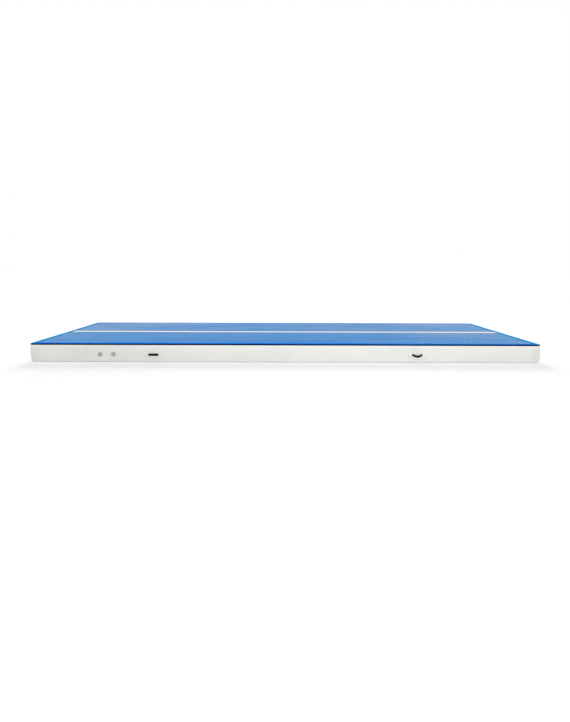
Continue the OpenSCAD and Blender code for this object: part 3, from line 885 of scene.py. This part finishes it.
def make_yarns(finishes):
    """The bundles of drop-stitch yarn that tie the two panels together."""
    height = Z_HI - Z_LO - 2 * SKIN
    middle = Vector((YARN_MARGIN - MAT_LENGTH / 2, YARN_MARGIN - MAT_WIDTH / 2, Z_MID))
    put_down()
    bpy.ops.mesh.primitive_cylinder_add(
        vertices=YARN_SIDES,
        radius=YARN_W * YARN_ROUND,
        depth=height,
        location=middle,
    )
    yarns = bpy.context.object
    settle(yarns)
    for level in YARN_RINGS:
        open_up(yarns)
        bpy.ops.mesh.bisect(plane_co=middle + Vector((0, 0, level * height)), plane_no=(0, 0, 1))
    pick(yarns, "VERT", lambda v: abs(v.co.z - Z_MID) < WAIST_HALF * height)
    bpy.ops.transform.resize(value=(YARN_WAIST, YARN_WAIST, 1), center_override=middle)
    for span, way in ((MAT_LENGTH, Vector((1, 0, 0))), (MAT_WIDTH, Vector((0, 1, 0)))):
        room = span - 2 * YARN_MARGIN
        steps = math.floor(room / YARN_PITCH)
        shape_with(
            yarns,
            "ARRAY",
            count=steps + 1,
            use_relative_offset=False,
            use_constant_offset=True,
            constant_offset_displace=way * (room / steps),
        )
    hand_in(yarns, "stitch_yarns", finishes["yarn"], ["drop_stitch_yarns"], smooth=70)


def make_wall(finishes):
    wall = section_start(FLAT_R, Z_HI)
    section_arc(TOP_CENTRE, LEAN, ARC_STEPS)
    section_arc(SIDE_CENTRE, 180 - 2 * LEAN, SIDE_STEPS)
    section_arc(LOW_CENTRE, LEAN, ARC_STEPS)
    section_line(0, SKIN)
    section_arc(LOW_CENTRE, -LEAN, ARC_STEPS)
    section_arc(SIDE_CENTRE, 2 * LEAN - 180, SIDE_STEPS)
    section_arc(TOP_CENTRE, -LEAN, ARC_STEPS)
    section_line(0, SKIN)
    carry_round(wall)
    for x in VALVE_X:
        cut_away(wall, valve_hole(x))
    nodes = ["side_wall_front_left", "side_wall_valve_panel", "side_wall_front_right"]
    nodes += ["side_wall_rear", "side_wall_left", "side_wall_right"]
    hand_in(wall, "side_wall", finishes["wall_fabric"], nodes)


def valve_hole(x):
    put_down()
    bpy.ops.mesh.primitive_cylinder_add(
        vertices=HOLE_SIDES,
        radius=BARREL_HOLE / 2,
        depth=4 * SHOULDER_R,
        location=(x, -WALL_Y, VALVE_Z),
        rotation=(math.pi / 2, 0, 0),
    )
    return bpy.context.object


def make_seam_tapes(finishes):
    drop = side_angle(UPPER_LO) - LEAN
    upper = section_start(*on_shoulder(UPPER_START, GLUE + TAPE))
    section_arc(TOP_CENTRE, LEAN - UPPER_START, LIP_STEPS)
    section_arc(SIDE_CENTRE, drop, FACE_STEPS)
    section_out(side_angle(UPPER_LO), -TAPE)
    section_arc(SIDE_CENTRE, -drop, FACE_STEPS)
    section_arc(TOP_CENTRE, UPPER_START - LEAN, LIP_STEPS)
    section_out(UPPER_START, TAPE)
    carry_round(upper)
    hand_in(upper, "upper_seam", finishes["seam_tape"], ["upper_seam_tape"])

    start = Z_LO + LOWER_TAPE_H
    drop = 180 - LEAN - side_angle(start)
    lap = FLAT_R - CORNER_R + LOWER_LAP
    lower = section_start(*on_side(start, GLUE + TAPE))
    section_arc(SIDE_CENTRE, drop, FOOT_STEPS)
    section_arc(LOW_CENTRE, LEAN, ARC_STEPS)
    section_line(-lap, 0)
    section_line(0, TAPE)
    section_line(lap, 0)
    section_arc(LOW_CENTRE, -LEAN, ARC_STEPS)
    section_arc(SIDE_CENTRE, -drop, FOOT_STEPS)
    section_out(side_angle(start), TAPE)
    carry_round(lower)
    hand_in(lower, "lower_seam", finishes["seam_tape"], ["lower_seam_tape"])


def make_piping(finishes):
    """The bead along the upper edge: a round cord whose back lies on the rounded edge."""
    middle = on_shoulder(PIPING_ANGLE, GLUE)
    reach = 180 - math.degrees(math.acos(PIPING_R / 2 / (SHOULDER_R + GLUE)))
    bead = section_start(*on_shoulder(PIPING_ANGLE - PIPING_HALF, GLUE))
    section_arc(middle, 2 * reach, 2 * ARC_STEPS)
    section_arc(TOP_CENTRE, -2 * PIPING_HALF, ARC_STEPS)
    carry_round(bead)
    hand_in(bead, "piping_bead", finishes["piping"], ["edge_piping"], smooth=60)


def border_strip(reach, steps):
    """The tape along one side, drawn on the front wall: over the top's edge, and mitred at its ends."""
    lap = BORDER_W - CORNER_R
    strip = section_start(0, Z_HI + GLUE, x=-reach)
    section_line(FLAT_R, 0)
    section_arc(TOP_CENTRE, BORDER_END, ARC_STEPS)
    section_out(BORDER_END, TAPE)
    section_arc(TOP_CENTRE, -BORDER_END, ARC_STEPS)
    section_line(-FLAT_R, 0)
    bpy.ops.mesh.select_all(action="SELECT")
    draw_along((2 * reach / steps, 0, 0), steps)
    turn_corner(reach, -CENTRE_Y, share=0.5)
    pick(strip, "VERT", lambda v: abs(v.co.x + reach) < MERGE)
    turn_corner(-reach, -CENTRE_Y, share=-0.5)
    close_up(strip)
    places = strip.data.vertices
    pick(strip, "EDGE", lambda e: all(abs(places[i].co.y + CENTRE_Y) < MERGE for i in e.vertices))
    bpy.ops.mesh.extrude_region_move(TRANSFORM_OT_translate={"value": (0, lap, 0)})
    bpy.ops.transform.resize(value=(1 - lap / reach, 1, 1), center_override=(0, 0, 0))
    bpy.ops.mesh.bridge_edge_loops()
    cap_ends(strip)
    return strip


def make_border(finishes):
    """The tapes round the top, each drawn on the front wall and turned round to its own side."""
    for side, far, reach, steps, turn in (
        ("front", CENTRE_Y, CENTRE_X, LONG_STEPS, 0),
        ("right", CENTRE_X, CENTRE_Y, SHORT_STEPS, 90),
        ("rear", CENTRE_Y, CENTRE_X, LONG_STEPS, 180),
        ("left", CENTRE_X, CENTRE_Y, SHORT_STEPS, 270),
    ):
        tape = border_strip(reach, steps)
        stand_at(tape, turn, y=CENTRE_Y - far)
        finish = finishes["border_tape" if side in ("front", "rear") else "border_tape_ends"]
        hand_in(tape, "border_" + side, finish, ["border_tape_" + side])


def make_wraps(finishes):
    """The wraps bonded round the upright corners: one is modelled, and the rest mirror it."""
    leg = WRAP_LEG - CORNER_R
    sweep = side_angle(WRAP_LO) - side_angle(WRAP_HI)
    first = section_start(*on_side(WRAP_HI, GLUE + TAPE), x=CENTRE_X - leg)
    section_arc(SIDE_CENTRE, sweep, SIDE_STEPS)
    section_out(side_angle(WRAP_LO), -TAPE)
    section_arc(SIDE_CENTRE, -sweep, SIDE_STEPS)
    section_out(side_angle(WRAP_HI), TAPE)
    section_done()
    draw_along((leg / LEG_STEPS, 0, 0), LEG_STEPS)
    turn_corner(CENTRE_X, -CENTRE_Y)
    draw_along((0, leg / LEG_STEPS, 0), LEG_STEPS)
    cap_ends(first)
    for corner in CORNERS:
        wrap = copy_of(first, "wrap_" + corner)
        wrap.scale = (1 if "right" in corner else -1, 1 if "front" in corner else -1, 1)
        settle(wrap)
        close_up(wrap)
        nodes = ["corner_wrap_" + corner]
        hand_in(wrap, "wrap_" + corner, finishes["corner_fabric"], nodes)
    bpy.data.objects.remove(first)


# Handles


def strap_length(x):
    """Distance along the strap from its middle to a place along the wall."""
    x = abs(x)
    bend_x = HALF_SPAN - STRAP_BEND * math.sin(BOW)
    if x < bend_x:
        return CROWN_R * math.asin(x / CROWN_R)
    if x < HALF_SPAN:
        return CROWN_R * BOW + STRAP_BEND * (BOW - math.asin(min(1, (HALF_SPAN - x) / STRAP_BEND)))
    return (CROWN_R + STRAP_BEND) * BOW + x - HALF_SPAN


def ease(t):
    t = max(0, min(1, t))
    return t * t * (3 - 2 * t)


def half_strap():
    """The right half of a strap with no droop, at the middle of the front wall, from crown to end."""
    crown_y = -WALL_Y - STRAP_BASE - HANDLE_BOW + CROWN_R
    bend_y = -WALL_Y - STRAP_BASE - STRAP_BEND
    half = section_start(EDGE_R + STRAP_BASE + HANDLE_BOW - STRAP_T / 2, HANDLE_Z - STRAP_W / 2, x=0)
    for way in (1, -1):
        for _ in range(WEB_ROWS):
            section_line(0, way * STRAP_W / WEB_ROWS)
        section_line(way * STRAP_T, 0)
    section_done()
    bpy.ops.mesh.spin(steps=CROWN_STEPS, angle=-BOW, center=(0, crown_y, 0), axis=(0, 0, 1))
    bpy.ops.mesh.spin(steps=BEND_STEPS, angle=BOW, center=(HALF_SPAN, bend_y, 0), axis=(0, 0, 1))
    draw_along((TAIL_L / TAIL_STEPS, 0, 0), TAIL_STEPS)
    cap_ends(half)
    places = half.data.vertices

    def runs_along(edge):
        """True for an edge that runs along the strap's upper or lower rim."""
        ends = [places[i].co for i in edge.vertices]
        at_rim = all(abs(abs(end.z - HANDLE_Z) - STRAP_W / 2) < MERGE for end in ends)
        return at_rim and abs(ends[0].x - ends[1].x) > MIN_RUN

    pick(half, "EDGE", runs_along)
    bpy.ops.mesh.bevel(offset=STRAP_T * STRAP_ROUND, segments=STRAP_ROUND_STEPS, affect="EDGES")
    close_up(half)
    return half


def map_weave(strap):
    """The strap's own map: along its length, and across its width."""
    weave = strap.data.uv_layers.new(name="weave")
    for loop in strap.data.loops:
        co = strap.data.vertices[loop.vertex_index].co
        weave.data[loop.index].uv = (strap_length(co.x), co.z)


def droop(strap, degrees):
    """Turns the free part of a strap down about its swing line; its web turns less, as it is soft."""
    for v in strap.data.vertices:
        share = (HALF_SPAN - abs(v.co.x)) / (HALF_SPAN - SWING_X)
        angle = math.radians(degrees) * ease((share - TWIST_START) / (1 - TWIST_START))
        twist = angle * WEB_TWIST
        up = v.co.z - HANDLE_Z
        out = -v.co.y - WALL_Y - SWING_H
        v.co.z = HANDLE_Z + up * math.cos(twist) - out * math.sin(angle)
        v.co.y = -WALL_Y - SWING_H - up * math.sin(twist) - out * math.cos(angle)


def anchor_pads():
    """The two pads that hold a strap's ends, with slots for them."""
    pads = []
    for way in (-1, 1):
        pad = wall_plate(way * ANCHOR_MID, HANDLE_Z, ANCHOR_L, ANCHOR_H, ANCHOR_R, PAD_BANDS)
        seat_on_wall(pad, ANCHOR_BASE)
        open_up(pad)
        bpy.ops.mesh.extrude_region_move(TRANSFORM_OT_translate={"value": (0, -ANCHOR_T, 0)})
        put_down()
        level = -WALL_Y - ANCHOR_BASE - ANCHOR_T
        for v in pad.data.vertices:
            if v.select:
                v.co.y = level
        close_up(pad)
        pick(pad, "EDGE", lambda e: on_rim(pad, e, level))
        bpy.ops.mesh.bevel(offset=PAD_ROUND, segments=PAD_ROUND_STEPS, affect="EDGES")
        close_up(pad)
        bpy.ops.mesh.primitive_cube_add(
            size=1,
            location=(way * (HALF_SPAN + TAIL_L / 2), -WALL_Y - STRAP_BASE, HANDLE_Z),
            scale=(TAIL_L + 2 * STRAP_CLEAR, STRAP_T + 2 * STRAP_CLEAR, STRAP_W + 2 * STRAP_CLEAR),
        )
        cut_away(pad, bpy.context.object)
        pads.append(pad)
    take_up(pads[0])
    pads[1].select_set(True)
    bpy.ops.object.join()
    return pads[0]


def on_rim(pad, edge, level):
    """True for an edge of the pad's face that also bounds its side."""
    if any(abs(pad.data.vertices[i].co.y - level) >= MERGE for i in edge.vertices):
        return False
    faces = [p for p in pad.data.polygons if set(edge.vertices) <= set(p.vertices)]
    return any(abs(p.normal.y) < SIDE_FACING for p in faces)


def make_handles(finishes):
    patch = wall_plate(0, HANDLE_Z, PATCH_L, PATCH_H, PATCH_R, PATCH_BANDS)
    seat_on_wall(patch, GLUE)
    shape_with(patch, "SOLIDIFY", thickness=PATCH_T, offset=1.0, use_even_offset=True)
    shape_with(
        patch,
        "BEVEL",
        width=PATCH_ROUND,
        segments=PATCH_ROUND_STEPS,
        limit_method="ANGLE",
        angle_limit=math.radians(ROUND_ANGLE),
    )
    close_up(patch)
    pads = anchor_pads()
    half = half_strap()
    map_weave(half)
    for handle, (x, turned, fall) in HANDLES.items():
        for model, name in ((patch, "patch_" + handle), (pads, "anchors_" + handle)):
            piece = copy_of(model, name)
            stand_at(piece, turned, x)
            hand_in(piece, name, finishes["wall_fabric"], ["handle_" + name])
        for way, hand in ((-1, "a"), (1, "b")):
            strap = copy_of(half, "strap_%s_%s" % (handle, hand))
            strap.scale = (way, 1, 1)
            settle(strap)
            close_up(strap)
            droop(strap, fall)
            stand_at(strap, turned, x)
            nodes = ["handle_strap_ends_" + handle, "handle_grip_" + handle]
            hand_in(strap, strap.name, finishes["webbing"], nodes, body=None, smooth=50)
            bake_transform(strap)
    for used in (patch, pads, half):
        bpy.data.objects.remove(used)


# Valves


def make_valve_pieces(finishes):
    doubler = wall_plate(PANEL_MID, VALVE_Z, DOUBLER_L, DOUBLER_H, PATCH_R, PATCH_BANDS)
    seat_on_wall(doubler, -SKIN - GLUE - DOUBLER_T)
    shape_with(doubler, "SOLIDIFY", thickness=DOUBLER_T, offset=1.0, use_even_offset=True)
    close_up(doubler)
    for x in VALVE_X:
        cut_away(doubler, valve_hole(x))
    hand_in(doubler, "valve_backing", finishes["wall_fabric"], ["valve_doubler"])
    low = HUB_DEPTH - WIRE_D / 2 - SPRING_SEAT
    high = BUTTON_T + WIRE_D / 2 + SPRING_SEAT
    radius = STEM_D / 2 + SPRING_CLEAR + WIRE_D / 2
    steps = COIL_STEPS * SPRING_TURNS
    for valve, x in zip(VALVES, VALVE_X):
        put_down()
        bpy.ops.mesh.primitive_circle_add(
            vertices=WIRE_SIDES,
            radius=WIRE_D / 2,
            rotation=(math.pi / 2, 0, 0),
        )
        coil = bpy.context.object
        coil.location = (radius, 0, 0)
        settle(coil)
        shape_with(
            coil,
            "SCREW",
            axis="Z",
            angle=2 * math.pi * SPRING_TURNS,
            screw_offset=low - high,
            steps=steps,
            render_steps=steps,
            use_merge_vertices=True,
            merge_threshold=MERGE,
        )
        open_up(coil)
        bpy.ops.mesh.fill_holes(sides=0)
        put_down()
        coil.rotation_euler = (math.pi / 2, 0, 0)
        coil.location = (x, -WALL_Y + low, VALVE_Z)
        settle(coil)
        close_up(coil)
        name = "return_spring_" + valve
        hand_in(coil, name, finishes["spring_wire"], ["valve_spring_" + valve], smooth=60)
        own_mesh(coil)


def dress_nodes(finishes):
    """Finishes of the moulded and rubber parts that show as they are in the frame."""
    worn = {
        "valve_gasket_": "seal",
        "valve_body_": "valve_body",
        "valve_backnut_": "valve_body",
        "valve_plunger_": "valve_cap",
        "valve_poppet_seal_": "seal",
        "valve_cap_seal_": "seal",
        "valve_cap_": "valve_cap",
    }
    for name, part in frame["nodes"].items():
        for start, finish in worn.items():
            if name in (start + "left", start + "right"):
                part.data.materials.clear()
                part.data.materials.append(finishes[finish])


# Stage


def backdrop_light(tree, lit, seen):
    """A strength that is one number for lighting, and another for what the camera and reflections see."""
    rays = add(tree, "ShaderNodeLightPath").outputs
    direct = worked(tree, "MAXIMUM", rays["Is Camera Ray"], rays["Is Glossy Ray"])
    direct = worked(tree, "MAXIMUM", direct, rays["Is Transmission Ray"])
    return mapped(tree, direct, (0, 1), (lit, seen))


def make_world():
    world = bpy.data.worlds.new("studio")
    bpy.context.scene.world = world
    world.use_nodes = True
    tree = world.node_tree
    back = tree.nodes["Background"]
    back.inputs["Color"].default_value = WHITE
    tree.links.new(backdrop_light(tree, WORLD_LIT, 1.0), back.inputs["Strength"])


def make_floor():
    put_down()
    bpy.ops.mesh.primitive_plane_add(size=FLOOR_SIZE)
    floor = bpy.context.object
    floor.name = "floor"
    pale, tree, shader = new_finish("pale_floor")
    shader.inputs["Base Color"].default_value = (FLOOR_TONE, FLOOR_TONE, FLOOR_TONE, 1)
    shader.inputs["Roughness"].default_value = FLOOR_ROUGH
    shader.inputs["Specular IOR Level"].default_value = 0.0
    shader.inputs["Emission Color"].default_value = WHITE
    away = worked(tree, "DISTANCE", own_place(tree), FLOOR_SPOT, kind="ShaderNodeVectorMath")
    glow = mapped(tree, away, GLOW_SPAN, FLOOR_GLOW)
    tree.links.new(backdrop_light(tree, 0.0, glow), shader.inputs["Emission Strength"])
    floor.data.materials.append(pale)


def make_lamps():
    put_down()
    facing = (SOFTBOX_AIM - SOFTBOX_PLACE).to_track_quat("-Z", "Y").to_euler()
    bpy.ops.object.light_add(type="AREA", location=SOFTBOX_PLACE, rotation=facing)
    lamp = bpy.context.object
    lamp.name = "front_softbox"
    lamp.data.shape = "RECTANGLE"
    lamp.data.size, lamp.data.size_y = SOFTBOX_SIZE
    lamp.data.energy = SOFTBOX_POWER
    lamp.visible_glossy = False

    for name, (heading, height, spread, strength) in SUNS.items():
        turn = (0, math.radians(90 - height), math.radians(heading))
        bpy.ops.object.light_add(type="SUN", location=SUN_PLACE, rotation=turn)
        lamp = bpy.context.object
        lamp.name = name
        lamp.data.angle = math.radians(spread)
        lamp.data.energy = strength
        lamp.visible_glossy = False


def make_camera():
    bpy.ops.object.camera_add(
        location=CAMERA_PLACE,
        rotation=(CAMERA_TILT, -CAMERA_ROLL * math.sin(CAMERA_TILT), CAMERA_ROLL * math.cos(CAMERA_TILT)),
    )
    camera = bpy.context.object
    camera.data.lens = CAMERA_LENS
    camera.data.sensor_width = CAMERA_SENSOR
    camera.data.shift_x, camera.data.shift_y = CAMERA_SHIFT
    bpy.context.scene.camera = camera


put_down()
make_camera()
make_world()
make_floor()
make_lamps()
FINISHES = make_finishes()
make_panels(FINISHES)
make_yarns(FINISHES)
make_wall(FINISHES)
make_seam_tapes(FINISHES)
make_piping(FINISHES)
make_border(FINISHES)
make_wraps(FINISHES)
make_handles(FINISHES)
make_valve_pieces(FINISHES)
dress_nodes(FINISHES)
put_down()
bpy.context.scene.view_settings.view_transform = "Standard"
